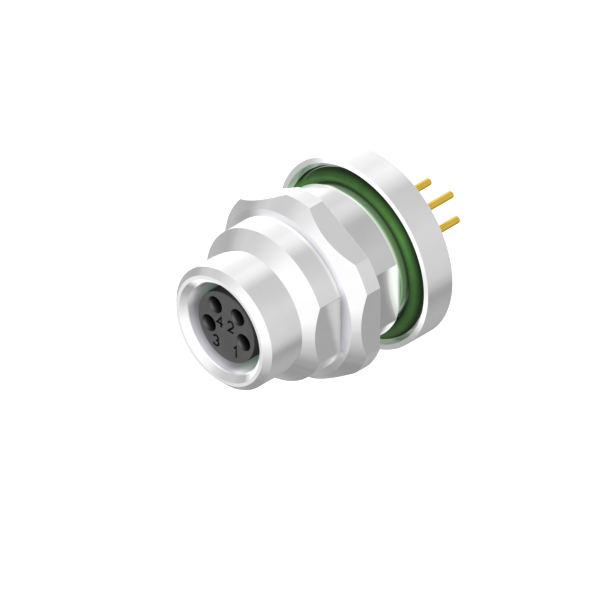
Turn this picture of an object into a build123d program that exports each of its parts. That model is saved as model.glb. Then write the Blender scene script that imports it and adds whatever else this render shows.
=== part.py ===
from build123d import *
import os
from math import cos, sin, tan, radians

# Circular sensor connector: panel receptacle with four female contacts.
# Millimetres, +Z up. The connector's axis is the Y axis: the mating face looks
# towards -Y and the solder pins leave towards +Y. The origin is the centre of
# the plane in which the flange seats on the panel.

# ---------------------------------------------------------------- shell, outside
nose_r = 4.85            # plain front collar
lip_y = -13.55           # foremost ring of the nose
lip_out_r = 4.36         # the front ring lies between these two radii
lip_in_r = 4.09
thread_r = 6.0           # M12 x 1 shank, drawn at its major diameter
shoulder_y = -10.03      # nose cylinder ends, 45 degree shoulder begins
thread_y0 = shoulder_y + (thread_r - nose_r)
thread_y1 = -1.16        # thread runs out into the relief
relief_r = 5.5
flat_x = 5.5             # milled flat along the shank, on the +X side
flange_r = 7.525
flange_t = 2.5
recess_r = 7.11          # outer wall of the seal recess
recess_d = 0.98

# ---------------------------------------------------------------- shell, inside
bore_r = 3.65            # socket for the mating plug
web_y0 = -8.55           # bottom of the socket
web_y1 = -7.35           # the contact carrier stops against this side
web_hole_r = 2.87
rear_bore_r = 4.3
rear_bevel = 0.3

# ---------------------------------------------------------------- nut
nut_af = 14.0            # across flats
nut_corner_r = 7.49      # corners are turned to this radius
nut_bore_r = 6.05        # 0.05 running clearance on the shank
nut_crest_r = 5.46       # the nut's thread reaches in to this radius
nut_y0 = -6.76           # front ring
nut_y1 = -4.28           # face that bears on the panel
nut_ring_r = 6.56        # the front ring ends here and the cone begins
nut_cone_dy = 1.14       # cone's length along the axis
nut_sink = 0.25

# thread engagement, drawn as rings where the nut covers the shank
pitch = 1.0
core_r = 5.39            # bottom of the grooves in the shank
crest_half = 0.09        # half the width of a ring's crest
thread_gap = 0.055       # play along the axis on each flank
face_gap = 0.05          # between the nut's front and the first groove's wall
flank = tan(radians(30))

# ---------------------------------------------------------------- seals
panel_seal_r = 6.145     # centre line of the O-ring in the flange
panel_seal_s = 0.625     # radius of its section
panel_seal_y = recess_d - panel_seal_s
face_seal_r = 3.25
face_seal_s = 0.385
face_seal_y = web_y0 - face_seal_s

# ---------------------------------------------------------------- contact carrier
face_y = -12.85          # front face of the insert
boss_r = 2.84
boss_edge = 0.07
carrier_y1 = -5.9
hole_r = 0.665           # entry holes for the pins of the plug
hole_lead = 0.06
entry_len = 1.0

# ---------------------------------------------------------------- contacts
# seen from the mating side, x to the right and z up
sites = {1: (1.74, -0.47), 2: (1.12, 1.41), 3: (-1.74, -0.47), 4: (-1.12, 1.41)}
barrel_r = 0.70
barrel_gap = 0.02
barrel_y0 = face_y + entry_len + 0.05
collar_r = 0.94
collar_t = 1.0
pin_bore_r = 0.505       # takes a 1 mm pin
pin_bore_len = 5.5
tine_slot = 0.15
tine_len = 3.6
root_r = 0.48            # the pin is thicker where the potting holds it
root_y1 = 2.2
tail_r = 0.3
tail_y1 = {1: 8.86, 2: 8.86, 3: 8.5, 4: 8.86}
tail_dome = 0.16

# ---------------------------------------------------------------- back
insul_r = 4.28
insul_gap = 0.02         # round the carrier's rear end
insul_y1 = -3.0
pot_y1 = 2.2
tail_gap = 0.015


def turned(*pts):
    """Solid of revolution about Y from (radius, y) points."""
    return revolve(make_face(Polyline(*pts, close=True)), Axis.Y, 360)


def rod(r, y0, y1, x=0.0, z=0.0):
    """Cylinder along Y between y0 and y1."""
    return Pos(x, (y0 + y1) / 2, z) * Rot(90, 0, 0) * Cylinder(r, y1 - y0)


def ring(centre_r, section_r, y):
    """Torus about Y."""
    return Pos(0, y, 0) * Rot(90, 0, 0) * Torus(centre_r, section_r)


os.makedirs("parts", exist_ok=True)
parts = {}

# The shell is one turned piece: nose, shoulder, shank, relief and flange outside,
# socket, web and rear bore inside. Two grooves of the thread are cut under the nut.
bore_cone = lip_in_r - bore_r
bottom = crest_half + thread_gap - (nut_crest_r - core_r) * flank
top = bottom + (thread_r - core_r) * flank
ring_2 = nut_y0 + pitch
shell = turned(
    (bore_r, lip_y + bore_cone),
    (lip_in_r, lip_y),
    (lip_out_r, lip_y),
    (nose_r, lip_y + (nose_r - lip_out_r)),
    (nose_r, shoulder_y),
    (thread_r, thread_y0),
    (thread_r, nut_y0 - face_gap),
    (core_r, nut_y0 - face_gap),
    (core_r, nut_y0 + bottom),
    (thread_r, nut_y0 + top),
    (thread_r, ring_2 - top),
    (core_r, ring_2 - bottom),
    (core_r, ring_2 + bottom),
    (thread_r, ring_2 + top),
    (thread_r, thread_y1),
    (relief_r, thread_y1 + (thread_r - relief_r)),
    (relief_r, recess_d),
    (recess_r, recess_d),
    (recess_r, 0.0),
    (flange_r, 0.0),
    (flange_r, flange_t),
    (rear_bore_r + rear_bevel, flange_t),
    (rear_bore_r, flange_t - rear_bevel),
    (rear_bore_r, web_y1),
    (web_hole_r, web_y1),
    (web_hole_r, web_y0),
    (bore_r, web_y0),
)
# the flat runs from the shoulder through the whole thread
shell -= Pos(flat_x + 2.0, (shoulder_y - 0.3) / 2, 0) * Box(4.0, abs(shoulder_y) - 0.3, 8.0)
parts["shell"] = shell

# Hexagon nut: a turned blank with a conical front, milled to six flats, one of
# them square to X. Its thread is drawn as a ring flush with the front face and a
# second one a pitch behind.
slope = (nut_bore_r - nut_crest_r) * flank
blank = turned(
    (nut_crest_r, nut_y0),
    (nut_ring_r, nut_y0),
    (nut_corner_r, nut_y0 + nut_cone_dy),
    (nut_corner_r, nut_y1),
    (nut_bore_r + nut_sink, nut_y1),
    (nut_bore_r, nut_y1 - nut_sink),
    (nut_bore_r, ring_2 + crest_half + slope),
    (nut_crest_r, ring_2 + crest_half),
    (nut_crest_r, ring_2 - crest_half),
    (nut_bore_r, ring_2 - crest_half - slope),
    (nut_bore_r, nut_y0 + crest_half + slope),
    (nut_crest_r, nut_y0 + crest_half),
)
hexagon = Pos(0, nut_y1, 0) * Rot(90, 0, 0) * extrude(
    RegularPolygon(nut_af / 2, 6, major_radius=False, rotation=30), nut_y1 - nut_y0
)
parts["hex_nut"] = blank & hexagon

parts["panel_seal"] = ring(panel_seal_r, panel_seal_s, panel_seal_y)
parts["face_seal"] = ring(face_seal_r, face_seal_s, face_seal_y)

# Contact carrier: a straight moulded body that stands in the socket and goes through
# the web. Each contact has a cavity through it, narrower at the face.
carrier = turned(
    (0, face_y),
    (boss_r - boss_edge, face_y),
    (boss_r, face_y + boss_edge),
    (boss_r, carrier_y1),
    (0, carrier_y1),
)
for n, (x, z) in sites.items():
    cavity = turned(
        (0, face_y - 0.2),
        (hole_r + hole_lead + 0.2, face_y - 0.2),
        (hole_r, face_y + hole_lead),
        (hole_r, face_y + entry_len),
        (barrel_r + barrel_gap, face_y + entry_len),
        (barrel_r + barrel_gap, carrier_y1 + 0.2),
        (0, carrier_y1 + 0.2),
    )
    carrier -= Pos(x, 0, z) * cavity
parts["contact_carrier"] = carrier

# Contacts: each is one turned piece, a split socket in front, a collar between the
# carrier and the rear insulator, and a solder pin with a domed end.
collar_y1 = carrier_y1 + collar_t
for n, (x, z) in sites.items():
    c = turned(
        (pin_bore_r, barrel_y0 + 0.12),
        (pin_bore_r + 0.12, barrel_y0),
        (barrel_r, barrel_y0),
        (barrel_r, carrier_y1),
        (collar_r, carrier_y1),
        (collar_r, collar_y1),
        (root_r, collar_y1),
        (root_r, root_y1),
        (tail_r, root_y1),
        (tail_r, tail_y1[n] - tail_dome),
        (tail_r - 0.07, tail_y1[n] - 0.05),
        (tail_r - 0.16, tail_y1[n]),
        (0, tail_y1[n]),
        (0, barrel_y0 + pin_bore_len + 0.25),
        (pin_bore_r, barrel_y0 + pin_bore_len),
    )
    c -= Pos(0, barrel_y0 + tine_len / 2 - 0.1, 0) * Box(4.0, tine_len + 0.2, tine_slot)
    parts["contact_%d" % n] = Pos(x, 0, z) * c

# Rear insulator: stops against the web, takes the carrier's rear end in its front
# and holds the collars of the contacts against it.
insulator = turned(
    (boss_r + insul_gap, web_y1),
    (insul_r, web_y1),
    (insul_r, insul_y1),
    (0, insul_y1),
    (0, carrier_y1),
    (boss_r + insul_gap, carrier_y1),
)
# Potting: fills the back of the shell up to just under the flange's rear face.
potting = rod(rear_bore_r - 0.01, insul_y1, pot_y1)
for n, (x, z) in sites.items():
    insulator -= rod(collar_r + barrel_gap, carrier_y1 - 0.5, collar_y1, x, z)
    insulator -= rod(root_r + tail_gap, carrier_y1, insul_y1 + 0.5, x, z)
    potting -= rod(root_r + tail_gap, insul_y1 - 0.5, pot_y1 + 1.0, x, z)
parts["rear_insulator"] = insulator
parts["potting"] = potting

for name, shape in parts.items():
    shape.label = name
    export_step(shape, "parts/%s.step" % name)
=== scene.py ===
import bpy
import bmesh
import math
from mathutils import Vector, Matrix, noise


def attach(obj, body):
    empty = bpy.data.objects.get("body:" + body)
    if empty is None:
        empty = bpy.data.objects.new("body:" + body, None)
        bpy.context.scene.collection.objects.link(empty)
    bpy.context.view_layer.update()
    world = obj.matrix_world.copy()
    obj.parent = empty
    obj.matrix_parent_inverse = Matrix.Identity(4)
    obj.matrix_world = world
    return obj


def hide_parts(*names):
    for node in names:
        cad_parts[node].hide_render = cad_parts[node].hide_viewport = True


# Circular sensor connector. The axis is Y, the mating face looks towards -Y, +Z is up.
# Lengths in this file are millimetres until a mesh is written; the scene is in metres.

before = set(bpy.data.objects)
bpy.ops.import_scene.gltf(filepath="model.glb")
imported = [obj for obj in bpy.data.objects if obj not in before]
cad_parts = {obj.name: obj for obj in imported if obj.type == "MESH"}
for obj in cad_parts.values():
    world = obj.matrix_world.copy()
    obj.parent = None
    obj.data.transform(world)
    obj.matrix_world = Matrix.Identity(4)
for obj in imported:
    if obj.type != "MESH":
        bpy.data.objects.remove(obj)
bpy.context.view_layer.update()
MM = 0.001

# ------------------------------------------------------------------ sizes
nose_r, lip_y, lip_out_r, lip_in_r = 4.85, -13.55, 4.36, 4.09
thread_r, shoulder_y, thread_y1, relief_r, flat_x = 6.0, -10.03, -1.16, 5.5, 5.5
flange_r, flange_t, recess_r, recess_d = 7.525, 2.5, 7.11, 0.98
bore_r, web_y0, web_y1, web_hole_r = 3.65, -8.55, -7.35, 2.87
rear_bore_r, rear_bevel = 4.3, 0.3
nut_flat, nut_corner_r, nut_bore_r = 7.0, 7.49, 6.05
nut_y0, nut_y1, nut_ring_r, nut_cone_dy, nut_sink = -6.76, -4.28, 6.56, 1.14, 0.25
pitch_mm, core_r, nut_crest_r, crest_half, thread_gap, face_gap = 1.0, 5.39, 5.46, 0.09, 0.055, 0.05
flank, ring_2 = math.tan(math.radians(30)), nut_y0 + pitch_mm
face_y, boss_r, carrier_y1 = -12.85, 2.84, -5.9
hole_r, hole_lead, entry_len, cavity_r = 0.665, 0.05, 1.0, 0.72
sites = {1: (1.74, -0.47), 2: (1.12, 1.41), 3: (-1.74, -0.47), 4: (-1.12, 1.41)}


# ------------------------------------------------------------------ mesh tools
def rounded(corners, seg=3):
    """Closed profile with its corners rounded. corners are (r, y) or (r, y, radius).
    Each point comes back as (r, y, normal at the end of the edge that comes in,
    normal at the start of the edge that goes out)."""
    n = len(corners)
    p = [Vector((c[0], c[1])) for c in corners]
    area = sum(p[k].x * p[(k + 1) % n].y - p[(k + 1) % n].x * p[k].y for k in range(n))
    if area < 0:
        raise ValueError("the profile runs the wrong way round")

    def out(a, b):
        d = b - a
        if d.length < 1e-7:
            return Vector((1.0, 0.0))
        d.normalize()
        return Vector((d.y, -d.x))

    made = []
    for k in range(n):
        before, here, after = p[k - 1], p[k], p[(k + 1) % n]
        n_in, n_out = out(before, here), out(here, after)
        rho = corners[k][2] if len(corners[k]) > 2 else 0.0
        turn = math.acos(max(-1.0, min(1.0, n_in.dot(n_out))))
        if rho <= 0 or turn < 1e-3:
            made.extend([(here.x, here.y, n_in, n_out)] * (1 if rho <= 0 else seg + 1))
            continue
        t = rho * math.tan(turn / 2)
        most = 0.45 * min((here - before).length, (after - here).length)
        if t > most:
            rho, t = rho * most / t, most
        start = here + (before - here).normalized() * t
        side = 1.0 if (n_in.x * n_out.y - n_in.y * n_out.x) > 0 else -1.0
        centre = start - n_in * rho * side
        for s in range(seg + 1):
            a = turn * s / seg * side
            nn = Vector((n_in.x * math.cos(a) - n_in.y * math.sin(a), n_in.x * math.sin(a) + n_in.y * math.cos(a)))
            q = centre + nn * rho * side
            made.append((q.x, q.y, nn, nn))
    return made


def angles(count, *extra):
    """Evenly spaced angles with exact extra ones put in, and none too close to those."""
    step = 2 * math.pi / count
    extra = sorted(e % (2 * math.pi) for e in extra)
    made = list(extra)
    for i in range(count):
        a = i * step
        if all(min(abs(a - e), 2 * math.pi - abs(a - e)) > 0.3 * step for e in extra):
            made.append(a)
    return sorted(made)


def lathe(name, prof, thetas, plane=None, slots=None, at=(0.0, 0.0)):
    """Mesh swept about an axis along Y through (x, z) = at. prof(theta) gives the points
    of rounded(); plane(theta, r, y) may name a flat's own normal for a face."""
    rows = [prof(t) for t in thetas]
    count, m = len(thetas), len(rows[0])
    verts, index = [], {}
    for j in range(m):
        lone = max(rows[i][j][0] for i in range(count)) < 1e-6
        for i in range(count):
            if lone and i:
                index[i, j] = index[0, j]
                continue
            r, y = rows[i][j][:2]
            index[i, j] = len(verts)
            verts.append(((at[0] + r * math.cos(thetas[i])) * MM, y * MM, (at[1] + r * math.sin(thetas[i])) * MM))
    faces, normals, slot_of = [], [], []
    for i in range(count):
        k = (i + 1) % count
        gap = (thetas[k] - thetas[i]) % (2 * math.pi)
        mid = thetas[i] + gap / 2
        for j in range(m):
            l = (j + 1) % m
            corner = [
                (index[i, j], thetas[i], rows[i][j][3]),
                (index[i, l], thetas[i], rows[i][l][2]),
                (index[k, l], thetas[i] + gap, rows[k][l][2]),
                (index[k, j], thetas[i] + gap, rows[k][j][3]),
            ]
            kept = []
            for c in corner:
                if c[0] not in [x[0] for x in kept]:
                    kept.append(c)
            if len(kept) < 3:
                continue
            size = max(abs(rows[i][l][0] - rows[i][j][0]) + abs(rows[i][l][1] - rows[i][j][1]),
                       abs(rows[k][l][0] - rows[k][j][0]) + abs(rows[k][l][1] - rows[k][j][1]))
            if size < 1e-7:
                continue
            r_mid = (rows[i][j][0] + rows[i][l][0]) / 2
            y_mid = (rows[i][j][1] + rows[i][l][1]) / 2
            flat = plane(mid, j) if plane else None
            faces.append([c[0] for c in kept])
            for c in kept:
                normals.append(flat or (c[2].x * math.cos(c[1]), c[2].y, c[2].x * math.sin(c[1])))
            slot_of.append(slots(r_mid, y_mid, mid) if slots else 0)
    mesh = bpy.data.meshes.new(name)
    mesh.from_pydata(verts, [], faces)
    mesh.update()
    for f, s in zip(mesh.polygons, slot_of):
        f.use_smooth = True
        f.material_index = s
    mesh.normals_split_custom_set(normals)
    obj = bpy.data.objects.new(name, mesh)
    bpy.context.scene.collection.objects.link(obj)
    return obj


def from_bmesh(name, bm, sharp=30.0):
    bmesh.ops.remove_doubles(bm, verts=bm.verts, dist=1e-8)
    bmesh.ops.recalc_face_normals(bm, faces=bm.faces)
    for f in bm.faces:
        f.smooth = True
    for e in bm.edges:
        if len(e.link_faces) == 2 and e.calc_face_angle(0.0) > math.radians(sharp):
            e.smooth = False
    mesh = bpy.data.meshes.new(name)
    bm.to_mesh(mesh)
    bm.free()
    obj = bpy.data.objects.new(name, mesh)
    bpy.context.scene.collection.objects.link(obj)
    return obj


def circle(bm, r, y, x, z, count):
    return [bm.verts.new(((x + r * math.cos(2 * math.pi * i / count)) * MM, y * MM,
                          (z + r * math.sin(2 * math.pi * i / count)) * MM)) for i in range(count)]


def bridge(bm, a, b):
    for i in range(len(a)):
        k = (i + 1) % len(a)
        bm.faces.new((a[i], a[k], b[k], b[i]))


def cap(bm, loops):
    """Flat region between an outer loop and the loops of its holes."""
    edges = []
    for loop in loops:
        for i in range(len(loop)):
            pair = (loop[i], loop[(i + 1) % len(loop)])
            edges.append(bm.edges.get(pair) or bm.edges.new(pair))
    bmesh.ops.triangle_fill(bm, use_beauty=True, use_dissolve=False, edges=edges)


# ------------------------------------------------------------------ materials
class Tree:
    """Small helper that adds nodes and links them by name."""

    def __init__(self, tree):
        self.tree, self.nodes, self.links = tree, tree.nodes, tree.links

    def put(self, target, value):
        if isinstance(value, bpy.types.NodeSocket):
            self.links.new(value, target)
        else:
            target.default_value = value

    def add(self, kind, inputs=None, **props):
        node = self.nodes.new(kind)
        for k, v in props.items():
            setattr(node, k, v)
        for k, v in (inputs or {}).items():
            self.put(node.inputs[k], v)
        return node

    def math(self, op, a, b=0.0, c=0.0, clamp=False):
        node = self.nodes.new("ShaderNodeMath")
        node.operation, node.use_clamp = op, clamp
        for s, v in zip(node.inputs, (a, b, c)):
            self.put(s, v)
        return node.outputs[0]

    def vec(self, op, a, b):
        node = self.nodes.new("ShaderNodeVectorMath")
        node.operation = op
        for s, v in zip(node.inputs, (a, b)):
            self.put(s, v)
        return node.outputs[0]

    def noise(self, vector, scale, detail=2.0, rough=0.5, distortion=0.0):
        node = self.add("ShaderNodeTexNoise", {"Vector": vector, "Scale": scale, "Detail": detail, "Roughness": rough, "Distortion": distortion})
        return node.outputs[0]

    def ramp(self, fac, stops, mode="LINEAR"):
        node = self.nodes.new("ShaderNodeValToRGB")
        r = node.color_ramp
        r.interpolation = mode
        while len(r.elements) > 1:
            r.elements.remove(r.elements[-1])
        r.elements[0].position = stops[0][0]
        r.elements[0].color = (*stops[0][1], 1.0)
        for pos, col in stops[1:]:
            r.elements.new(pos).color = (*col, 1.0)
        self.put(node.inputs[0], fac)
        return node.outputs[0]

    def rng(self, value, a, b, lo, hi, mode="LINEAR"):
        node = self.nodes.new("ShaderNodeMapRange")
        node.interpolation_type = mode
        for s, v in zip(node.inputs, (value, a, b, lo, hi)):
            self.put(s, v)
        return node.outputs[0]

    def mix(self, fac, a, b):
        node = self.nodes.new("ShaderNodeMix")
        node.data_type = "RGBA"
        self.put(node.inputs["Factor"], fac)
        self.put(node.inputs[6], a if isinstance(a, bpy.types.NodeSocket) else (*a, 1.0))
        self.put(node.inputs[7], b if isinstance(b, bpy.types.NodeSocket) else (*b, 1.0))
        return node.outputs[2]


def material(name):
    m = bpy.data.materials.new(name)
    m.use_nodes = True
    t = Tree(m.node_tree)
    bsdf = m.node_tree.nodes["Principled BSDF"]
    coord = t.add("ShaderNodeTexCoord").outputs["Object"]
    return m, t, bsdf, coord


def around(t):
    """A place as a turn about the connector's axis in degrees (0 at +X, 90 at the top, from
    -100 to 260), the distance from the axis and the place along it, both in millimetres."""
    place = t.add("ShaderNodeNewGeometry").outputs["Position"]
    x, y, z = t.add("ShaderNodeSeparateXYZ", {"Vector": place}).outputs
    turn = t.math("WRAP", t.math("MULTIPLY", t.math("ARCTAN2", z, x), 180 / math.pi), 260.0, -100.0)
    radius = t.math("SQRT", t.math("ADD", t.math("MULTIPLY", x, x), t.math("MULTIPLY", z, z)))
    return turn, t.math("MULTIPLY", radius, 1000.0), t.math("MULTIPLY", y, 1000.0)


def along_scale(t, value, low, high, *stops):
    """Tone, or colour, by a value between low and high."""
    return t.ramp(t.rng(value, low, high, 0, 1), [((v - low) / (high - low), c if isinstance(c, tuple) else (c, c, c)) for v, c in stops])


def by_turn(t, turn, *stops):
    return along_scale(t, turn, -100, 260, *stops)


def metal(name, low, high, rough=(0.05, 0.09), marks=1.0, pitch=0.09, painted_light=None, painted_shade=None):
    """Bright plate: slow changes of tone and gloss, fine rings from turning, and a faint cloud.
    The emission that may be given is painted light, standing in for the light a hollow of the part holds between its
    bright walls; the darkening that may be given is painted shade on the plate's colour."""
    m, t, bsdf, coord = material(name)
    cloud = t.noise(coord, 420.0, 3.0, 0.55)
    fine = t.noise(coord, 5200.0, 2.0, 0.6)
    base = t.mix(t.rng(cloud, 0.3, 0.7, 0.0, 1.0), low, high)
    # where given, painted shade darkens the base colour
    t.put(bsdf.inputs["Base Color"], t.vec("MULTIPLY", base, painted_shade(t, *around(t))) if painted_shade else base)
    bsdf.inputs["Metallic"].default_value = 1.0
    both = t.math("ADD", t.math("MULTIPLY", cloud, 0.6), t.math("MULTIPLY", fine, 0.4))
    t.put(bsdf.inputs["Roughness"], t.rng(both, 0.35, 0.65, *rough))
    # turning marks: rings about the axis, of uneven depth
    sep = t.add("ShaderNodeSeparateXYZ", {"Vector": coord})
    x, y, z = sep.outputs
    radius = t.math("SQRT", t.math("ADD", t.math("MULTIPLY", x, x), t.math("MULTIPLY", z, z)))
    along = t.math("ADD", y, radius)
    wobble = t.noise(t.add("ShaderNodeCombineXYZ", {"X": along}).outputs[0], 9000.0, 3.0, 0.7)
    ring = t.math("SINE", t.math("MULTIPLY", along, 2 * math.pi / (pitch * MM)))
    height = t.math("ADD", t.math("MULTIPLY", ring, 0.35), wobble)
    bump = t.add("ShaderNodeBump", {"Strength": 0.35 * marks, "Distance": 0.0000009, "Height": height})
    t.put(bsdf.inputs["Normal"], bump.outputs[0])
    # where given, painted light: an emission that stands in for light and reflections
    if painted_light:
        t.put(bsdf.inputs["Emission Color"], painted_light(t, *around(t)))
        bsdf.inputs["Emission Strength"].default_value = 1.0
    return m


# Painted light on the lip's front face, by turn about the axis.
def lip_painted_light(t, turn, radius, along):
    return by_turn(t, turn, (-100, .10), (-90, .06), (-75, .10), (-10, .10), (30, .14), (70, .15), (95, .20), (125, .21), (150, .16), (215, .17), (260, .10))


# Painted highlights and reflections on the cone inside the lip, by turn.
def cone_painted_light(t, turn, radius, along):
    return by_turn(t, turn, (-100, 0.0), (-62, 0.0), (-54, .10), (-45, .52), (-38, .90), (-16, .92), (-8, .6), (5, .2), (80, .12), (84, .34), (88, .56), (92, .84), (96, 1.0), (100, 1.0),
                   (104, .92), (126, .95), (132, .80), (136, .58), (140, .33), (145, .10), (152, .03), (260, 0.0))


# Painted shade on the cone's colour, by turn.
def cone_painted_shade(t, turn, radius, along):
    return by_turn(t, turn, (-100, .9), (-66, .9), (-58, .96), (-48, .5), (-40, .08), (-14, .06), (0, 1.0), (82, 1.0), (92, .2), (128, .06), (136, .3), (144, .8),
                   (150, 1.0), (252, 1.0), (260, .92))


def socket_painted_light(t, turn, radius, along):
    """Painted light on the wall of the socket: light near the mouth, painted shade further in, a painted highlight
    where two walls face.
    """
    def cool(g):
        return (g, g * 0.99, g * 1.07)

    def green(g):
        return (g, g, g * 1.04)
    near = by_turn(t, turn, (-100, cool(.55)), (-90, cool(.46)), (-80, green(.52)), (-70, green(.62)), (-60, cool(.38)), (-50, cool(.3)), (-30, cool(.1)),
                   (90, cool(.1)), (140, cool(.12)), (148, cool(.22)), (154, green(.36)), (160, green(.47)), (166, green(.48)), (173, green(.42)), (180, cool(.31)),
                   (190, cool(.33)), (200, cool(.42)), (215, cool(.48)), (230, cool(.55)), (240, cool(.52)), (250, cool(.56)), (260, cool(.55)))
    deep = along_scale(t, along, -13.2, -8.5, (-13.11, 1.0), (-12.95, .97), (-12.85, .91), (-12.65, .81), (-12.5, .66), (-12.3, .50), (-12.0, .38),
                       (-11.5, .30), (-11.0, .25), (-10.5, .21), (-9.9, .17), (-9.4, .10), (-9.15, .005))
    low_side = along_scale(t, along, -13.2, -8.5, (-13.11, .78), (-12.95, .93), (-12.85, 1.06), (-12.65, 1.10), (-12.5, .90), (-12.3, .70), (-12.0, .50),
                           (-11.5, .37), (-11.0, .28), (-10.5, .23), (-9.9, .18), (-9.4, .10), (-9.15, .005))
    deep = t.mix(by_turn(t, turn, (-100, 0.0), (-84, 0.0), (-76, 1.0), (-58, 1.0), (-50, 0.0), (260, 0.0)), deep, low_side)
    # painted shade: between these turns the wall is painted black next to the insert's dark side
    painted_dark_mask = t.math("MULTIPLY", t.rng(along, -11.1, -10.88, 0, 1), by_turn(t, turn, (-100, 1.0), (-89, 1.0), (-86, 0.0), (171.5, 0.0), (174.5, 1.0), (260, 1.0)))
    deep = t.mix(painted_dark_mask, deep, (0.004, 0.004, 0.004))
    facing = by_turn(t, turn, (-100, 0.0), (-76, 0.0), (-68, .03), (-60, .12), (-52, .31), (-43, .82), (-10, .88), (10, .2), (80, .2), (95, .66), (106, .74),
                     (116, .88), (134, .88), (141, .55), (147, .12), (153, 0.0), (260, 0.0))
    # painted highlight on the corner to the cone, on the side that is turned up to the front
    mouth = t.vec("MULTIPLY", along_scale(t, along, -13.2, -12.9, (-13.06, .5), (-13.01, .3), (-12.97, 0.0)),
                  by_turn(t, turn, (-100, .9), (-85, .4), (-78, 0.0), (176, 0.0), (186, .7), (200, .95), (250, .95), (260, .9)))
    # further in, a painted reflection of the green ring at the bottom tints the wall
    seal_reflection_tint = along_scale(t, along, -13.2, -10.4, (-12.6, (1.0, 1.0, 1.0)), (-12.0, (.97, 1.05, .98)), (-11.5, (.92, 1.08, .95)), (-11.0, (.82, 1.1, .86)), (-10.5, (.76, 1.08, .80)))
    seal_reflection_tint = t.mix(by_turn(t, turn, (-100, 0.0), (-92, .3), (-84, 1.0), (-62, 1.0), (-54, 0.0), (138, 0.0), (148, 1.0), (172, 1.0), (180, .3), (190, 0.0), (255, 0.0), (260, .1)), (1.0, 1.0, 1.0), seal_reflection_tint)
    wall = t.vec("ADD", t.vec("MULTIPLY", t.vec("MULTIPLY", t.vec("MULTIPLY", near, deep), (1.2, 1.2, 1.2)), seal_reflection_tint), mouth)
    return t.vec("ADD", wall, facing)


def ring_painted_light(t, turn, radius, along):
    """Painted reflection on the front ring of the nut, which looks along the shank: lighter where the shank stands
    over it.
    """
    tone = by_turn(t, turn, (-100, .26), (-60, .25), (-45, .20), (-30, .26), (-20, .44), (-5, .48), (4, .45), (12, .405), (20, .39), (26, .48), (31, .60), (42, .54), (52, .505),
                   (62, .50), (80, .59), (92, .67), (102, .71), (111, .70), (116, .58), (121, .40), (125, .30), (130, .24), (140, .26), (150, .33), (165, .34), (260, .26))
    lean = by_turn(t, turn, (-100, .5), (-30, .5), (0, .585), (12, .61), (20, .655), (26, .63), (33, .675), (55, .70), (72, .64), (90, .56), (105, .475), (116, .39), (126, .45), (136, .57),
                   (150, .52), (260, .5))
    side = t.math("MULTIPLY", t.math("SUBTRACT", lean, 0.5), 2.0)
    gain = t.math("ADD", 1.0, t.math("MULTIPLY", side, t.math("DIVIDE", t.math("SUBTRACT", radius, 6.2), 0.36)))
    tint = t.vec("MULTIPLY", tone, by_turn(t, turn, (-100, 1.0), (-24, 1.0), (-16, (.995, .98, 1.045)), (112, (.995, .985, 1.035)), (120, 1.0), (260, 1.0)))
    lit = t.vec("MULTIPLY", tint, t.add("ShaderNodeCombineXYZ", {"X": gain, "Y": gain, "Z": gain}).outputs[0])
    # painted shade on the ring where the shank's flat stands over it
    x = t.math("MULTIPLY", radius, t.math("COSINE", t.math("MULTIPLY", turn, math.pi / 180)))
    dip = along_scale(t, x, 5.4, 6.4, (5.5, .112), (5.65, .115), (5.75, .10), (5.9, .075), (6.05, .045), (6.2, .01), (6.3, 0.0))
    dip = t.vec("MULTIPLY", dip, by_turn(t, turn, (-24.5, 0.0), (-23, 1.15), (-19, 1.15), (-12, 1.3), (-4, 1.15), (4, .85), (12, .9), (19, .85), (23, .8), (24.5, 0.0)))
    return t.vec("SUBTRACT", lit, dip)


# Painted light on the flange's front rim, by turn.
def rim_painted_light(t, turn, radius, along):
    return by_turn(t, turn, (-100, .30), (-60, .28), (-40, .25), (-32, .34), (-25, .62), (-18, .86), (-5, .84), (3, .72), (14, .72), (24, .9), (30, .93), (112, .93),
                   (118, .62), (124, .42), (132, .36), (170, .38), (260, .30))


# Painted light and a painted green reflection of the seal on the recess, by turn.
def recess_painted_light(t, turn, radius, along):
    return by_turn(t, turn, (-100, (.21, .28, .20)), (-66, (.19, .24, .18)), (-60, (.07, .10, .07)), (-51, (.075, .11, .075)), (-43, (.16, .18, .155)), (-35, (.33, .35, .325)),
                   (-30, (.56, .58, .55)), (-24, (.72, .74, .71)), (106, (.80, .88, .78)), (117, (.74, .78, .73)), (124, (.40, .44, .41)), (131, (.24, .30, .25)),
                   (139, (.12, .185, .125)), (149, (.085, .155, .085)), (155, (.15, .225, .15)), (160, (.26, .33, .235)), (170, (.22, .33, .21)), (260, (.21, .28, .20)))


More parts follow.
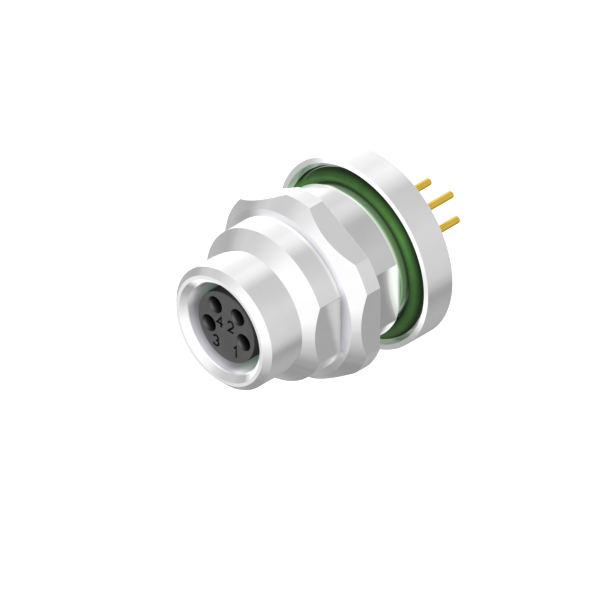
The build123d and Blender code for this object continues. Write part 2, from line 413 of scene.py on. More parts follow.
def front_painted_light(t, turn, radius, along):
    """Painted light that the nut's bright front throws on the flat and on the cylinder before it."""
    z = t.math("MULTIPLY", radius, t.math("SINE", t.math("MULTIPLY", turn, math.pi / 180)))
    s = t.math("ADD", along, t.math("MULTIPLY", z, 0.25))
    flat = along_scale(t, s, -8.1, -6.5, (-7.95, 0.0), (-7.8, .02), (-7.65, .08), (-7.5, .15), (-7.4, .19), (-7.2, .215), (-7.0, .24))
    flat = t.vec("MULTIPLY", flat, along_scale(t, along, -7.3, -6.6, (-7.2, 1.0), (-7.0, .8), (-6.9, .6), (-6.8, .35), (-6.7, .25)))
    flat = t.vec("MULTIPLY", flat, by_turn(t, turn, (-24.2, 0.0), (-23.4, 1.0), (23.2, 1.0), (23.8, 0.0)))
    u = t.math("ADD", along, t.math("ADD", 9.4, t.math("MULTIPLY", turn, 0.0375)))
    below = along_scale(t, u, 0.0, 1.7, (0.0, 0.0), (.3, .27), (.6, .5), (.8, .76), (1.0, 1.0), (1.2, .92), (1.4, .55), (1.6, .45))
    below = t.vec("MULTIPLY", below, by_turn(t, turn, (-60, 0.0), (-54, .18), (-48, .28), (-40, .30), (-32, .37), (-27, .26), (-24.2, .16), (-23.6, 0.0)))
    line = along_scale(t, along, -7.3, -6.7, (-7.16, 0.0), (-7.07, .08), (-6.98, .20), (-6.88, .22), (-6.82, .08))
    line = t.vec("MULTIPLY", line, by_turn(t, turn, (23.8, 0.0), (27, .7), (34, 1.0), (60, .8), (74, 1.1), (100, 1.1), (130, 1.0), (150, 0.0)))
    return t.vec("MULTIPLY", t.vec("ADD", t.vec("ADD", flat, below), line), (0.99, 0.98, 1.03))


def back_painted_light(t, turn, radius, along):
    """Painted light that the flange's recess throws on the flat behind the nut."""
    z = t.math("MULTIPLY", radius, t.math("SINE", t.math("MULTIPLY", turn, math.pi / 180)))
    s = t.math("ADD", along, t.math("MULTIPLY", z, t.math("SUBTRACT", 0.24, t.math("MULTIPLY", z, 0.045))))
    rise = along_scale(t, s, -2.6, -0.6, (-2.5, 0.0), (-2.3, .03), (-2.1, .10), (-1.9, .26), (-1.75, .41), (-1.6, .63), (-1.5, .77), (-1.4, .88), (-1.3, .95))
    end = along_scale(t, along, -1.2, -0.6, (-1.12, (.96, 1.0, .95)), (-1.0, (.74, .85, .72)), (-0.9, (.41, .52, .40)), (-0.8, (.23, .34, .22)), (-0.68, (.12, .2, .11)))
    return t.vec("MULTIPLY", rise, end)


# Painted shade on the colour of the flat behind the nut, darker towards the flange.
def back_painted_shade(t, turn, radius, along):
    z = t.math("MULTIPLY", radius, t.math("SINE", t.math("MULTIPLY", turn, math.pi / 180)))
    s = t.math("ADD", along, t.math("MULTIPLY", z, t.math("SUBTRACT", 0.24, t.math("MULTIPLY", z, 0.045))))
    return along_scale(t, s, -2.6, -0.6, (-2.5, 1.0), (-2.3, .95), (-2.1, .86), (-1.9, .62), (-1.75, .4), (-1.6, .2), (-1.5, .12), (-1.35, .06))


def relief_painted_light(t, turn, radius, along):
    """Painted reflection on the neck between the thread's end and the flange: the green of the seal round it."""
    lean = t.rng(turn, 60, 95, 26, 50)
    slid = t.math("SUBTRACT", turn, t.math("MULTIPLY", t.math("ADD", along, 0.35), lean))
    body = by_turn(t, slid, (-100, (.06, .09, .05)), (-34, (.10, .14, .09)), (-22, (.36, .40, .35)), (-12, (.11, .18, .10)), (20, (.095, .175, .08)), (45, (.105, .185, .09)),
                   (75, (.125, .22, .115)), (98, (.14, .22, .13)), (106, (.18, .25, .17)), (110, (.34, .38, .33)), (114, (.96, 1.0, .95)), (160, (1.0, 1.0, 1.0)), (180, (.1, .12, .1)),
                   (260, (.06, .09, .05)))
    dim = along_scale(t, along, -0.7, 0.9, (-0.45, 1.0), (-0.22, .85), (-0.1, .36), (0.05, .20), (0.4, .12))
    edge = along_scale(t, along, -0.7, 0.1, (-0.66, (.24, .27, .23)), (-0.54, (.05, .08, .05)), (-0.44, 0.0))
    return t.vec("ADD", t.vec("MULTIPLY", body, dim), edge)


# Painted light on the thread's run-out, by turn.
def runout_painted_light(t, turn, radius, along):
    tone = along_scale(t, along, -1.3, -0.5, (-1.2, .3), (-1.17, .6), (-1.1, .55), (-1.0, .42), (-0.85, .36), (-0.72, .32))
    lit = by_turn(t, turn, (-100, .8), (-35, .8), (-20, 1.25), (-2, .62), (10, .9), (20, 1.05), (60, 1.15), (72, 1.5), (90, 1.8), (104, 1.8), (110, 2.2), (135, 2.2), (160, 1.4), (260, .8))
    return t.vec("MULTIPLY", t.vec("MULTIPLY", tone, lit), (.97, 1.02, .96))


def rear_painted_light(t, turn, radius, along):
    """Painted light on the back of the shank: the lit side is painted brighter than its surroundings make it, and the
    lower side gets painted light from the recess."""
    lit = by_turn(t, turn, (-100, 0.0), (94, 0.0), (106, .3), (114, .5), (150, .45), (170, 0.0), (260, 0.0))
    low = along_scale(t, along, -2.8, -1.1, (-2.65, 0.0), (-2.4, .05), (-2.25, .17), (-2.1, .32), (-1.95, .50), (-1.8, .66), (-1.6, .84), (-1.4, .93),
                      (-1.3, (.84, .87, .82)), (-1.2, (.64, .70, .61)))
    low = t.vec("MULTIPLY", low, by_turn(t, turn, (-100, .6), (-60, 1.0), (-27, 1.0), (-24.3, .78), (-23.9, 0.0)))
    return t.vec("ADD", lit, low)


nickel = metal("nickel_plate", (0.905, 0.905, 0.91), (0.945, 0.945, 0.945))
nickel_nut = metal("nickel_plate_nut", (0.905, 0.905, 0.91), (0.945, 0.945, 0.945), pitch=0.11)
# The next eleven copies of the plate carry painted light and painted shade for their zones: a lower base colour, and
# an emission that stands in for the light and reflections there.
nickel_ring = metal("painted_light_nickel_nut_face", (0.19, 0.19, 0.20), (0.21, 0.21, 0.215), pitch=0.11, painted_light=ring_painted_light)
nickel_lip = metal("painted_light_nickel_lip", (0.905, 0.905, 0.91), (0.945, 0.945, 0.945), painted_light=lip_painted_light)
nickel_cone = metal("painted_light_nickel_cone", (0.905, 0.905, 0.91), (0.945, 0.945, 0.945), painted_light=cone_painted_light, painted_shade=cone_painted_shade)
nickel_socket = metal("painted_light_nickel_socket", (0.11, 0.11, 0.115), (0.13, 0.13, 0.13), painted_light=socket_painted_light)
nickel_rear = metal("painted_light_nickel_shank", (0.72, 0.72, 0.725), (0.76, 0.76, 0.76), painted_light=rear_painted_light)
nickel_front = metal("painted_light_nickel_flat", (0.905, 0.905, 0.91), (0.945, 0.945, 0.945), painted_light=front_painted_light)
nickel_back = metal("painted_light_nickel_flat_end", (0.72, 0.72, 0.725), (0.75, 0.75, 0.75), painted_light=back_painted_light, painted_shade=back_painted_shade)
nickel_runout = metal("painted_light_nickel_runout", (0.42, 0.42, 0.42), (0.46, 0.46, 0.46), painted_light=runout_painted_light)
nickel_relief = metal("painted_light_nickel_relief", (0.27, 0.28, 0.27), (0.31, 0.32, 0.31), painted_light=relief_painted_light)
nickel_recess = metal("painted_light_nickel_recess", (0.22, 0.22, 0.22), (0.25, 0.25, 0.25), painted_light=recess_painted_light)
nickel_rim = metal("painted_light_nickel_rim", (0.23, 0.23, 0.235), (0.26, 0.26, 0.26), painted_light=rim_painted_light)
nickel_satin = metal("nickel_plate_back_face", (0.70, 0.70, 0.71), (0.76, 0.76, 0.765), rough=(0.11, 0.16), marks=1.6, pitch=0.13)
gold = metal("gold_plate", (0.86, 0.565, 0.075), (0.93, 0.64, 0.115), rough=(0.06, 0.11), marks=0.6, pitch=0.07)


def rubber():
    m, t, bsdf, coord = material("seal_rubber")
    cloud = t.noise(coord, 700.0, 3.0, 0.6)
    grain = t.noise(coord, 16000.0, 3.0, 0.65)
    turn, radius, along = around(t)
    col = t.mix(t.rng(cloud, 0.3, 0.7, 0.0, 1.0), (0.053, 0.152, 0.034), (0.066, 0.182, 0.044))
    # painted shade: the ring is darker where it lies close to the metal on either side
    painted_gap_shade = along_scale(t, radius, 5.5, 6.8, (5.52, .45), (5.65, .5), (5.83, .7), (6.0, .95), (6.15, 1.0), (6.35, 1.0), (6.46, .85), (6.56, .6), (6.66, .35), (6.72, .16), (6.77, .1))
    # painted light and shade by turn, on the inner and outer side of the ring
    inner = by_turn(t, turn, (-100, .66), (-20, .66), (5, .74), (25, .92), (50, 1.06), (75, 1.0), (105, .81), (119, .70), (130, .9), (180, .8), (260, .66))
    outer = by_turn(t, turn, (-100, .6), (-30, .55), (-15, .65), (0, .75), (20, .95), (40, 1.4), (60, 1.1), (80, .8), (100, .58), (120, .42), (135, .55), (150, 1.0), (180, .8), (260, .6))
    painted_turn_light = t.mix(t.rng(radius, 6.1, 6.35, 0, 1, "SMOOTHSTEP"), inner, outer)
    # on the upper left a painted highlight line lies between two painted dark ones, where the skin and the recess's
    # wall face each other
    at = by_turn(t, turn, (100, .70), (105, .68), (110, .60), (116, .54), (122, .47), (128, .40), (134, .33), (140, .27), (150, .22))
    wide = by_turn(t, turn, (100, .2), (110, .14), (120, .085), (130, .05), (140, .035))
    off = t.math("ABSOLUTE", t.math("SUBTRACT", t.math("ADD", t.math("MULTIPLY", along, 0.5), 0.4), at))
    line = t.rng(t.math("DIVIDE", off, t.math("MULTIPLY", wide, 0.5)), 0.5, 1.3, 1, 0, "SMOOTHSTEP")
    line = t.math("MULTIPLY", line, t.rng(radius, 6.3, 6.45, 0, 1))
    shown = by_turn(t, turn, (94, 0.0), (100, .48), (106, .44), (114, .34), (126, .15), (136, .045), (142, 0.0))
    t.put(bsdf.inputs["Emission Color"], t.vec("MULTIPLY", t.vec("MULTIPLY", line, shown), (.78, 1.08, .74)))
    bsdf.inputs["Emission Strength"].default_value = 1.0
    # painted shadow: the base colour is made dark just above the painted highlight line
    above = t.rng(t.math("SUBTRACT", t.math("ADD", t.math("MULTIPLY", along, 0.5), 0.4), at), 0.02, 0.08, 0, 1)
    above = t.math("MULTIPLY", above, t.rng(turn, 98, 106, 0, 1))
    painted_turn_light = t.mix(t.math("MULTIPLY", above, t.rng(turn, 142, 149, 1, 0)), painted_turn_light, (0.03, 0.03, 0.03))
    t.put(bsdf.inputs["Base Color"], t.vec("MULTIPLY", t.vec("MULTIPLY", col, painted_gap_shade), painted_turn_light))
    t.put(bsdf.inputs["Roughness"], t.rng(grain, 0.3, 0.7, 0.46, 0.58))
    bsdf.inputs["Specular IOR Level"].default_value = 0.08
    bump = t.add("ShaderNodeBump", {"Strength": 0.25, "Distance": 0.000004, "Height": grain})
    t.put(bsdf.inputs["Normal"], bump.outputs[0])
    return m


def side_shade(t, turn, radius, along):
    """Painted shade on the insert's side: it gets no light further down in the gap, and it is painted lighter or
    darker by turn.
    """
    down = along_scale(t, along, -12.9, -10.5, (-12.8, 1.0), (-12.3, .95), (-11.7, .45), (-11.0, .15))
    facing = by_turn(t, turn, (-100, .35), (-35, .42), (-30, .36), (-20, .5), (-8, .8), (0, 1.15), (15, 1.9), (30, 2.6), (60, 2.8), (75, 1.9), (90, 1.2),
                     (100, .75), (110, .45), (118, .25), (123, .25), (130, .5), (260, .5))
    return t.vec("MULTIPLY", down, facing)


def plastic(name, low, high, rough, grain_scale=14000.0, deep=0.000004, shade=None):
    m, t, bsdf, coord = material(name)
    cloud = t.noise(coord, 900.0, 4.0, 0.6)
    grain = t.noise(coord, grain_scale, 3.0, 0.6)
    base = t.mix(t.rng(cloud, 0.3, 0.7, 0.0, 1.0), low, high)
    t.put(bsdf.inputs["Base Color"], t.vec("MULTIPLY", base, shade(t, *around(t))) if shade else base)
    t.put(bsdf.inputs["Roughness"], t.rng(grain, 0.3, 0.7, *rough))
    bump = t.add("ShaderNodeBump", {"Strength": 0.35, "Distance": deep, "Height": grain})
    t.put(bsdf.inputs["Normal"], bump.outputs[0])
    return m


def cavity(name):
    """Walls of the contact holes: the grey of the insert at the mouth, painted shade that turns them black further in.
    """
    m, t, bsdf, coord = material(name)
    cloud = t.noise(coord, 900.0, 4.0, 0.6)
    geo = t.add("ShaderNodeNewGeometry")
    y = t.add("ShaderNodeSeparateXYZ", {"Vector": geo.outputs["Position"]}).outputs[1]
    nx, ny, nz = t.add("ShaderNodeSeparateXYZ", {"Vector": geo.outputs["Normal"]}).outputs
    depth = t.math("SUBTRACT", t.math("MULTIPLY", y, 1000.0), face_y)
    dark = along_scale(t, depth, 0.0, 1.0, (0.0, .044), (0.06, .022), (0.12, .010), (0.25, .005), (0.7, .004))
    t.put(bsdf.inputs["Base Color"], t.vec("MULTIPLY", dark, t.mix(t.rng(cloud, 0.3, 0.7, 0.0, 1.0), (0.9, 0.9, 0.9), (1.1, 1.1, 1.1))))
    t.put(bsdf.inputs["Roughness"], t.rng(cloud, 0.3, 0.7, 0.45, 0.6))
    # painted light: the wall on the lower left glows near its mouth
    up_side = t.math("MAXIMUM", t.math("ADD", t.math("MULTIPLY", nx, 0.77), t.math("MULTIPLY", nz, 0.64)), 0.0)
    lit = along_scale(t, depth, 0.0, 1.0, (0.0, .07), (0.08, .16), (0.16, .135), (0.24, .085), (0.32, .038), (0.42, .013), (0.6, .003), (0.8, 0.0))
    t.put(bsdf.inputs["Emission Color"], lit)
    t.put(bsdf.inputs["Emission Strength"], t.math("POWER", up_side, 5.0))
    bsdf.inputs["Specular IOR Level"].default_value = 0.12
    return m


seal_green = rubber()
insert_grey = plastic("insert_plastic", (0.046, 0.046, 0.0485), (0.057, 0.057, 0.0595), (0.42, 0.55))
# the insert's side is a darker copy of its plastic, with painted shade
insert_side = plastic("painted_shade_insert_side", (0.022, 0.022, 0.0225), (0.030, 0.030, 0.0305), (0.5, 0.6), shade=side_shade)
cavity_painted_dark = cavity("painted_shade_cavity")
digit_black = plastic("digit_ink", (0.0015, 0.0015, 0.0015), (0.003, 0.003, 0.003), (0.65, 0.75))
digit_black.node_tree.nodes["Principled BSDF"].inputs["Specular IOR Level"].default_value = 0.05
insert_side.node_tree.nodes["Principled BSDF"].inputs["Specular IOR Level"].default_value = 0.02
insulator_grey = plastic("insulator_plastic", (0.075, 0.075, 0.08), (0.10, 0.10, 0.105), (0.45, 0.6))
resin = plastic("potting_resin", (0.020, 0.020, 0.022), (0.034, 0.034, 0.036), (0.22, 0.34), 5000.0, 0.000006)


def dress(obj, *mats):
    if len(obj.data.materials):
        obj.data.materials.clear()
    for m in mats:
        obj.data.materials.append(m)
    return obj


# ------------------------------------------------------------------ shell
half_flat = math.acos(flat_x / thread_r)


groove_low = crest_half + thread_gap - (nut_crest_r - core_r) * flank


def shell_prof(theta):
    """Profile of the shell at one angle. Two grooves of the thread are cut under the nut."""
    a = (theta + math.pi) % (2 * math.pi) - math.pi
    r = min(thread_r, max(flat_x / math.cos(a), flat_x + 0.003)) if abs(a) < half_flat + 1e-9 else thread_r
    cone = lip_in_r - bore_r
    wide = groove_low + (r - core_r) * flank
    return rounded([
        (bore_r, lip_y + cone, 0.03),
        (lip_in_r, lip_y, 0.02),
        (lip_out_r, lip_y, 0.02),
        (nose_r, lip_y + nose_r - lip_out_r, 0.03),
        (nose_r, shoulder_y, 0.03),
        (r, shoulder_y + r - nose_r),
        (r, nut_y0 - face_gap),
        (core_r, nut_y0 - face_gap),
        (core_r, nut_y0 + groove_low),
        (r, nut_y0 + wide),
        (r, ring_2 - wide),
        (core_r, ring_2 - groove_low),
        (core_r, ring_2 + groove_low),
        (r, ring_2 + wide),
        (r, thread_y1 + thread_r - r, 0.07),
        (relief_r, thread_y1 + thread_r - relief_r),
        (relief_r, recess_d, 0.08),
        (recess_r, recess_d, 0.08),
        (recess_r, 0.0, 0.02),
        (flange_r, 0.0, 0.02),
        (flange_r, flange_t, 0.02),
        (rear_bore_r + rear_bevel, flange_t, 0.04),
        (rear_bore_r, flange_t - rear_bevel, 0.04),
        (rear_bore_r, web_y1),
        (web_hole_r, web_y1),
        (web_hole_r, web_y0),
        (bore_r, web_y0),
    ])


probe = shell_prof(0.5)
side_edges = {j for j in range(len(probe)) if abs(probe[j][0] - thread_r) < 1e-6 and abs(probe[(j + 1) % len(probe)][0] - thread_r) < 1e-6}


def shell_plane(theta, j):
    a = (theta + math.pi) % (2 * math.pi) - math.pi
    return (1.0, 0.0, 0.0) if j in side_edges and abs(a) < half_flat else None


def shell_slot(r, y, a):
    """Which of the shell's materials a face gets: 0 is the plain bright plate, 11 the satin back face, and the others
    are copies of the plate that carry painted light and painted shade for their zone.
    """
    cone_y = lip_y + lip_in_r - bore_r
    if y < lip_y + 0.015 and lip_in_r - 0.02 < r < lip_out_r + 0.02:
        return 1
    if r < lip_in_r and y < cone_y - 0.005:
        return 2
    if r < bore_r + 0.01 and y < web_y0 + 0.01:
        return 3
    if y > flange_t - 0.004 or (r < rear_bore_r + rear_bevel and y > web_y1):
        return 11
    a = math.degrees((a + math.pi) % (2 * math.pi) - math.pi)
    on_flat = abs(a) < math.degrees(half_flat)
    if r > flat_x - 0.01 and shoulder_y + thread_r - nose_r < y < nut_y0 - face_gap + 0.001:
        return 9
    if r > flat_x - 0.01 and on_flat and ring_2 + 0.3 < y < thread_y1 + thread_r - relief_r:
        return 10
    if r > relief_r - 0.01 and ring_2 < y < thread_y1 - 0.05:
        return 4
    if r > relief_r + 0.001 and thread_y1 - 0.05 <= y < thread_y1 + thread_r - relief_r:
        return 5
    if r > relief_r - 0.01 and y < recess_d and r < 0.5 * (relief_r + recess_r):
        return 6 if y > thread_y1 + thread_r - relief_r - 0.001 else 0
    if recess_r - 0.1 < r < recess_r + 0.001 and 0.01 < y < recess_d:
        return 7
    if r > recess_r - 0.01 and y < 0.015 and y > thread_y1:
        return 8
    if relief_r < r < recess_r and abs(y - recess_d) < 0.05:
        return 7
    return 0


shell = lathe("shell_turned", shell_prof, angles(288, half_flat, -half_flat), plane=shell_plane, slots=shell_slot)
dress(shell, nickel, nickel_lip, nickel_cone, nickel_socket, nickel_rear, nickel_runout, nickel_relief, nickel_recess, nickel_rim, nickel_front, nickel_back, nickel_satin)
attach(shell, "shell"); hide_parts("shell")

# ------------------------------------------------------------------ nut
half_side = math.acos(nut_flat / nut_corner_r)
sixth = math.pi / 3


def nut_prof(theta):
    a = (theta + sixth / 2) % sixth - sixth / 2
    r = min(nut_corner_r, nut_flat / math.cos(a))
    slope = (nut_bore_r - nut_crest_r) * flank
    return rounded([
        (nut_crest_r, nut_y0, 0.02),
        (nut_ring_r, nut_y0, 0.03),
        (r, nut_y0 + nut_cone_dy * (r - nut_ring_r) / (nut_corner_r - nut_ring_r)),
        (r, nut_y1, 0.04),
        (nut_bore_r + nut_sink, nut_y1),
        (nut_bore_r, nut_y1 - nut_sink),
        (nut_bore_r, ring_2 + crest_half + slope),
        (nut_crest_r, ring_2 + crest_half),
        (nut_crest_r, ring_2 - crest_half),
        (nut_bore_r, ring_2 - crest_half - slope),
        (nut_bore_r, nut_y0 + crest_half + slope),
        (nut_crest_r, nut_y0 + crest_half),
    ])


probe = nut_prof(0.0)
nut_side = [j for j in range(len(probe)) if abs(probe[j][0] - nut_flat) < 1e-6 and abs(probe[(j + 1) % len(probe)][0] - nut_flat) < 1e-6][0]


def nut_plane(theta, j):
    a = (theta + sixth / 2) % sixth - sixth / 2
    if j != nut_side or abs(a) > half_side:
        return None
    n = theta - a
    return (math.cos(n), 0.0, math.sin(n))


# slot 1 is the front ring, a dark copy of the plate that carries a painted reflection; slot 2 is the satin back face
nut = lathe("nut_body", nut_prof, angles(288, *[k * sixth + s * half_side for k in range(6) for s in (-1, 1)]),
            plane=nut_plane, slots=lambda r, y, a: 1 if y < nut_y0 + 0.02 and r < nut_ring_r else 2 if y > nut_y1 - 0.004 else 0)
dress(nut, nickel_nut, nickel_ring, nickel_satin)
nut.visible_glossy = False
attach(nut, "nut"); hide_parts("hex_nut")


# ------------------------------------------------------------------ seals
def torus(name, big, small, y, node, around=288, section=56):
    """O-ring with a faint moulding line round its inner and outer side."""
    def prof(theta):
        made = []
        for k in range(section):
            a = 2 * math.pi * k / section
            line = 0.006 * math.exp(-((math.sin(a)) / 0.06) ** 2)
            nn = Vector((math.cos(a), math.sin(a)))
            made.append((big + (small + line - 0.003) * nn.x, y + (small + line - 0.003) * nn.y, nn, nn))
        return made
    o = lathe(name, prof, angles(around))
    dress(o, seal_green)
    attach(o, "shell"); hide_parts(node)
    return o


torus("flange_oring", 6.145, 0.625, 0.355, "panel_seal")
torus("socket_oring", 3.25, 0.385, web_y0 - 0.385, "face_seal", 192, 40)

# ------------------------------------------------------------------ contact carrier
bm = bmesh.new()
outer, small = 192, 72
edge = 0.07
rim_face = circle(bm, boss_r - edge, face_y, 0, 0, outer)
rim_mid = circle(bm, boss_r - 0.3 * edge, face_y + 0.3 * edge * 0.7, 0, 0, outer)
rim_side = circle(bm, boss_r, face_y + edge, 0, 0, outer)
rim_back = circle(bm, boss_r, carrier_y1, 0, 0, outer)
bridge(bm, rim_face, rim_mid); bridge(bm, rim_mid, rim_side); bridge(bm, rim_side, rim_back)
front, back = [rim_face], [rim_back]
for x, z in sites.values():
    loops = [circle(bm, r, y, x, z, small) for r, y in (
        (hole_r + hole_lead, face_y), (hole_r + 0.3 * hole_lead, face_y + 0.3 * hole_lead), (hole_r, face_y + hole_lead),
        (hole_r, face_y + entry_len), (cavity_r, face_y + entry_len), (cavity_r, carrier_y1))]
    for a, b in zip(loops, loops[1:]):
        bridge(bm, a, b)
    front.append(loops[0]); back.append(loops[-1])
cap(bm, front); cap(bm, back)
carrier = from_bmesh("insert_body", bm, 25.0)
dress(carrier, insert_grey, cavity_painted_dark, insert_side)
for f in carrier.data.polygons:
    c = f.center / MM
    near = min(math.hypot(c.x - x, c.z - z) for x, z in sites.values())
    if near < cavity_r + 0.01 and c.y > face_y + hole_lead * 0.4:
        f.material_index = 1
    elif math.hypot(c.x, c.z) > boss_r - 0.014 and c.y > face_y + 0.03:
        f.material_index = 2
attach(carrier, "shell"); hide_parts("contact_carrier")


# ------------------------------------------------------------------ contacts
def contact_profile(tip):
    y0 = face_y + entry_len + 0.05
    tail = 0.3
    pts = [
        (0.505, y0 + 0.12, 0.02), (0.625, y0, 0.02), (0.70, y0, 0.03), (0.70, carrier_y1),
        (0.94, carrier_y1, 0.02), (0.94, carrier_y1 + 1.0, 0.02), (0.48, carrier_y1 + 1.0),
        (0.48, 2.2, 0.05), (tail, 2.2, 0.03), (tail, tip - 0.17), (tail - 0.02, tip - 0.11),
        (tail - 0.07, tip - 0.055), (tail - 0.14, tip - 0.018), (0.08, tip - 0.003), (0.0, tip),
        (0.0, y0 + 5.75), (0.505, y0 + 5.5),
    ]
    made = rounded(pts)
    # the dome is smooth: its normals turn from the side to the end
    for k, (r, y, n0, n1) in enumerate(made):
        if y > tip - 0.175 and r > 1e-6:
            a = math.radians(90) * min(1.0, max(0.0, (y - (tip - 0.17)) / 0.17)) ** 0.8
            nn = Vector((math.cos(a), math.sin(a)))
            made[k] = (r, y, nn, nn)
        elif y > tip - 0.001:
            made[k] = (r, y, Vector((0.0, 1.0)), n1)
    return made


pin_ends = {1: 8.86, 2: 8.86, 3: 8.5, 4: 8.86}
for number, (x, z) in sites.items():
    contact_points = contact_profile(pin_ends[number])
    pin = lathe("contact_pin_%d" % number, lambda t: contact_points, angles(72), at=(x, z))
    dress(pin, gold)
    # two slots make the socket springy
    cutter = bmesh.new()
    bmesh.ops.create_cube(cutter, size=1.0)
    y0 = face_y + entry_len + 0.05
    bmesh.ops.transform(cutter, verts=cutter.verts, matrix=Matrix.Translation(Vector((x, y0 + 1.7, z)) * MM) @ Matrix.Diagonal((4.0 * MM, 3.8 * MM, 0.15 * MM, 1.0)))
    cut_mesh = bpy.data.meshes.new("slot_%d" % number)
    cutter.to_mesh(cut_mesh); cutter.free()
    cut = bpy.data.objects.new("slot_%d" % number, cut_mesh)
    bpy.context.scene.collection.objects.link(cut)
    mod = pin.modifiers.new("slot", "BOOLEAN")
    mod.operation, mod.object, mod.solver = "DIFFERENCE", cut, "EXACT"
    done = bpy.data.meshes.new_from_object(pin.evaluated_get(bpy.context.evaluated_depsgraph_get()))
    pin.modifiers.clear()
    pin.data = done
    bpy.data.objects.remove(cut)
    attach(pin, "shell"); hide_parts("contact_%d" % number)


# ------------------------------------------------------------------ potting
def pot_height(x, z):
    """The resin creeps up the wall and the pins, and sinks a little between them."""
    r = math.hypot(x, z)
    h = 0.16 * math.exp(-(rear_bore_r - r) / 0.22)
    for px, pz in sites.values():
        h = max(h, 0.10 * math.exp(-max(0.0, math.hypot(x - px, z - pz) - 0.48) / 0.14))
    h += 0.02 * noise.noise(Vector((x * 0.9, z * 0.9, 4.0)))
    return 2.10 + h - 0.02


bm = bmesh.new()
rings = [0.15 * k for k in range(1, 28)] + [4.12, 4.18, 4.23, 4.27, 4.295]
count = 192
top = []
hub = bm.verts.new((0, pot_height(0, 0) * MM, 0))
for r in rings:
    loop = []
    for i in range(count):
        a = 2 * math.pi * i / count
        x, z = r * math.cos(a), r * math.sin(a)
        loop.append(bm.verts.new((x * MM, pot_height(x, z) * MM, z * MM)))
    top.append(loop)
for i in range(count):
    bm.faces.new((hub, top[0][i], top[0][(i + 1) % count]))
for a, b in zip(top, top[1:]):
    bridge(bm, a, b)
low = circle(bm, 4.29, -3.0, 0, 0, count)
bridge(bm, top[-1], low)
bm.faces.new(low)
potting = from_bmesh("potting_fill", bm, 40.0)
dress(potting, resin)
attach(potting, "shell"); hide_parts("potting")

dress(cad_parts["rear_insulator"], insulator_grey)


# ------------------------------------------------------------------ numbers on the insert
def arc(cx, cz, rx, rz, a0, a1, steps=16):
    return [(cx + rx * math.cos(math.radians(a0 + (a1 - a0) * k / steps)),
             cz + rz * math.sin(math.radians(a0 + (a1 - a0) * k / steps))) for k in range(steps + 1)]


def stroke(bm, pts, width, low, high, ox, oz):
    """Ribbon with square ends along a line, standing from y = high down to y = low."""
    rows = []
    for k, (px, pz) in enumerate(pts):
        a = Vector(pts[max(k - 1, 0)]); b = Vector(pts[min(k + 1, len(pts) - 1)]); here = Vector((px, pz))
        d1 = (here - a).normalized() if k else (b - here).normalized()
        d2 = (b - here).normalized() if k < len(pts) - 1 else d1
        n1, n2 = Vector((-d1.y, d1.x)), Vector((-d2.y, d2.x))
        n = (n1 + n2).normalized()
        n = n / max(0.45, n.dot(n1)) * width / 2
        rows.append([bm.verts.new(((ox + q.x) * MM, y * MM, (oz + q.y) * MM))
                     for q, y in ((here + n, low), (here - n, low), (here - n, high), (here + n, high))])
    for a, b in zip(rows, rows[1:]):
        bridge(bm, a, b)
    bm.faces.new(rows[0]); bm.faces.new(rows[-1])


digit_strokes = {
    1: [[(-0.19, 0.22), (-0.05, 0.32), (0.055, 0.47), (0.055, -0.47)]],
    2: [arc(0.0, 0.19, 0.255, 0.28, 172, -22, 14) + [(0.10, -0.10), (-0.12, -0.27), (-0.245, -0.415), (0.29, -0.415)]],
    3: [arc(-0.01, 0.205, 0.235, 0.22, 165, -75, 12), arc(-0.005, -0.195, 0.27, 0.235, 88, -162, 14)],
    4: [[(0.13, -0.47), (0.13, 0.40), (-0.27, -0.165), (0.31, -0.165)]],
}
digit_at = {4: (-0.65, 0.21), 2: (0.45, 0.24), 3: (-1.03, -1.64), 1: (0.955, -1.67)}
for number, lines in digit_strokes.items():
    bm = bmesh.new()
    for line in lines:
        stroke(bm, line, 0.152, face_y - 0.012, face_y + 0.02, *digit_at[number])
    d = from_bmesh("digit_%d" % number, bm)
    dress(d, digit_black)
    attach(d, "shell")

# ------------------------------------------------------------------ floor, light, camera
bm = bmesh.new()
bmesh.ops.create_grid(bm, x_segments=8, y_segments=8, size=1.5)
floor = from_bmesh("floor", bm)
floor.location = (0, 0, -0.05)
m, t, bsdf, coord = material("floor_white")
t.put(bsdf.inputs["Base Color"], t.mix(t.noise(coord, 3.0, 2.0), (0.93, 0.93, 0.93), (0.95, 0.95, 0.95)))
bsdf.inputs["Roughness"].default_value = 0.9
bsdf.inputs["Specular IOR Level"].default_value = 0.1
bsdf.inputs["Emission Color"].default_value = (1, 1, 1, 1)
bsdf.inputs["Emission Strength"].default_value = 0.45
dress(floor, m)
floor.visible_glossy = False

world = bpy.data.worlds.new("studio")
bpy.context.scene.world = world
world.use_nodes = True
w = Tree(world.node_tree)
background = world.node_tree.nodes["Background"]
direction = w.add("ShaderNodeTexCoord").outputs["Generated"]
sep = w.add("ShaderNodeSeparateXYZ", {"Vector": w.add("ShaderNodeVectorMath", {0: direction}, operation="NORMALIZE").outputs[0]})
dx, dy, dz = sep.outputs
turn = w.math("WRAP", w.math("MULTIPLY", w.math("ARCTAN2", dy, dx), 180 / math.pi), 340.0, -20.0)
rise = w.rng(w.math("MULTIPLY", w.math("ARCSINE", dz), 180 / math.pi), -90, 90, 0, 1)


BRIGHT = 1.5


def by_height(*stops):
    return w.ramp(rise, [((e + 90) / 180, (g / BRIGHT, g / BRIGHT, g / BRIGHT)) for e, g in stops])


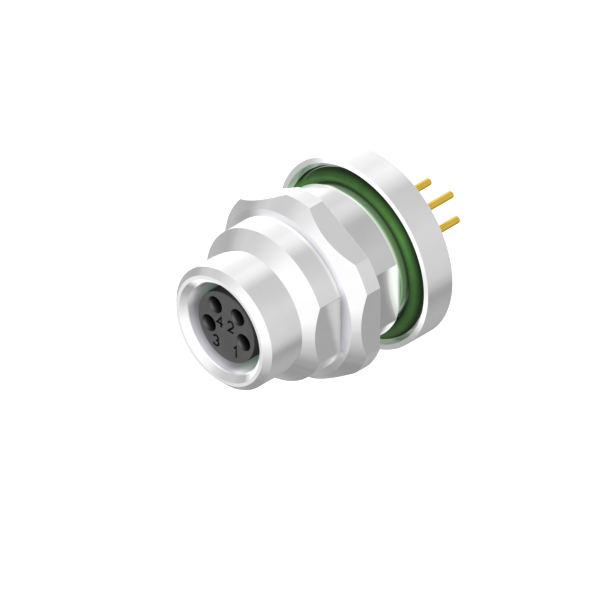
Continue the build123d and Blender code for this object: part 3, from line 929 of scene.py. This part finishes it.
# tone of the studio by height above the horizon, in five directions round the object
side_b = by_height((-90, .30), (-80, .31), (-54, .42), (-47, .39), (-40, .35), (-35, .372), (-31, .456), (-26, .521), (-22, .572), (-17, .584),
                   (-7, .592), (3, .603), (12, .632), (22, .655), (35, .626), (47, .60), (54, .591), (90, .62))
side_c = by_height((-90, .30), (-70, .33), (-54, .405), (-47, .362), (-38, .37), (-31, .88), (-22, .97), (-17, 1.06), (-11, 1.35),
                   (14, 1.4), (20, 1.12), (26, .99), (30, .95), (35, .91), (43, .865), (50, .93), (54, .86), (90, .80))
side_d = by_height((-90, .30), (-70, .33), (-58, .40), (-45, .44), (-32, .475), (-23, .485), (-10, .451), (0, .434), (6, .479), (11.5, .571),
                   (22, .65), (31, .617), (60, .62), (90, .62))
side_e = by_height((-90, .30), (-70, .40), (-50, .70), (-35, .80), (0, .78), (25, .70), (35, .73), (42, .78), (60, .80), (90, .76))
side_a = by_height((-90, .296), (-82, .296), (-76, .352), (-70, .35), (-56, .52), (-42, .644), (-35, .753), (-28, .815), (-14, 1.0), (40, 1.0),
                   (90, .95))
tone = w.mix(w.rng(turn, 77, 104, 0, 1), side_b, side_c)
tone = w.mix(w.rng(turn, 145.4, 147.6, 0, 1, "SMOOTHSTEP"), tone, side_d)
tone = w.mix(w.rng(turn, 208, 240, 0, 1, "SMOOTHSTEP"), tone, side_e)
tone = w.mix(w.rng(turn, 236, 280, 0, 1, "SMOOTHSTEP"), tone, side_a)
tone = w.mix(w.rng(turn, 350, 360, 0, 0, "SMOOTHSTEP"), tone, side_b)
near_start = w.rng(turn, -20, 50, 1, 0, "SMOOTHSTEP")
tone = w.mix(w.math("MULTIPLY", near_start, w.rng(turn, 60, 61, 1, 0)), tone, side_a)
path = w.add("ShaderNodeLightPath")
white = 1 / (1.07 * BRIGHT)
tone = w.mix(path.outputs["Is Camera Ray"], tone, (white, white, white))
w.put(background.inputs["Color"], tone)
background.inputs["Strength"].default_value = 1.07 * BRIGHT


def area(name, size, energy, place, aim=(0, 0, 0)):
    data = bpy.data.lights.new(name, "AREA")
    data.shape, data.size, data.energy = "DISK", size, energy
    o = bpy.data.objects.new(name, data)
    bpy.context.scene.collection.objects.link(o)
    o.location = place
    o.rotation_mode = "QUATERNION"
    o.rotation_quaternion = (Vector(aim) - Vector(place)).to_track_quat("-Z", "Y")
    o.visible_glossy = False
    o.visible_camera = False
    return o


area("key", 0.25, 0.9, (-0.15, -0.25, 0.45))

cam_data = bpy.data.cameras.new("camera")
cam = bpy.data.objects.new("camera", cam_data)
bpy.context.scene.collection.objects.link(cam)
cam_data.type = "ORTHO"
cam_data.ortho_scale = 600 / 14.0 * MM
cam_data.clip_start, cam_data.clip_end = 0.001, 10.0
right = Vector((1, 1, 0)).normalized()
back_v = Vector((1, -1, 1)).normalized()
up = back_v.cross(right)
start = Vector((0, -12.85, 0)) * MM
cam.location = start + right * 5.268 * MM + up * 1.950 * MM + back_v * 0.12
cam.rotation_mode = "QUATERNION"
cam.rotation_quaternion = (-back_v).to_track_quat("-Z", "Y")
bpy.context.scene.camera = cam
bpy.context.scene.view_settings.view_transform = "Standard"
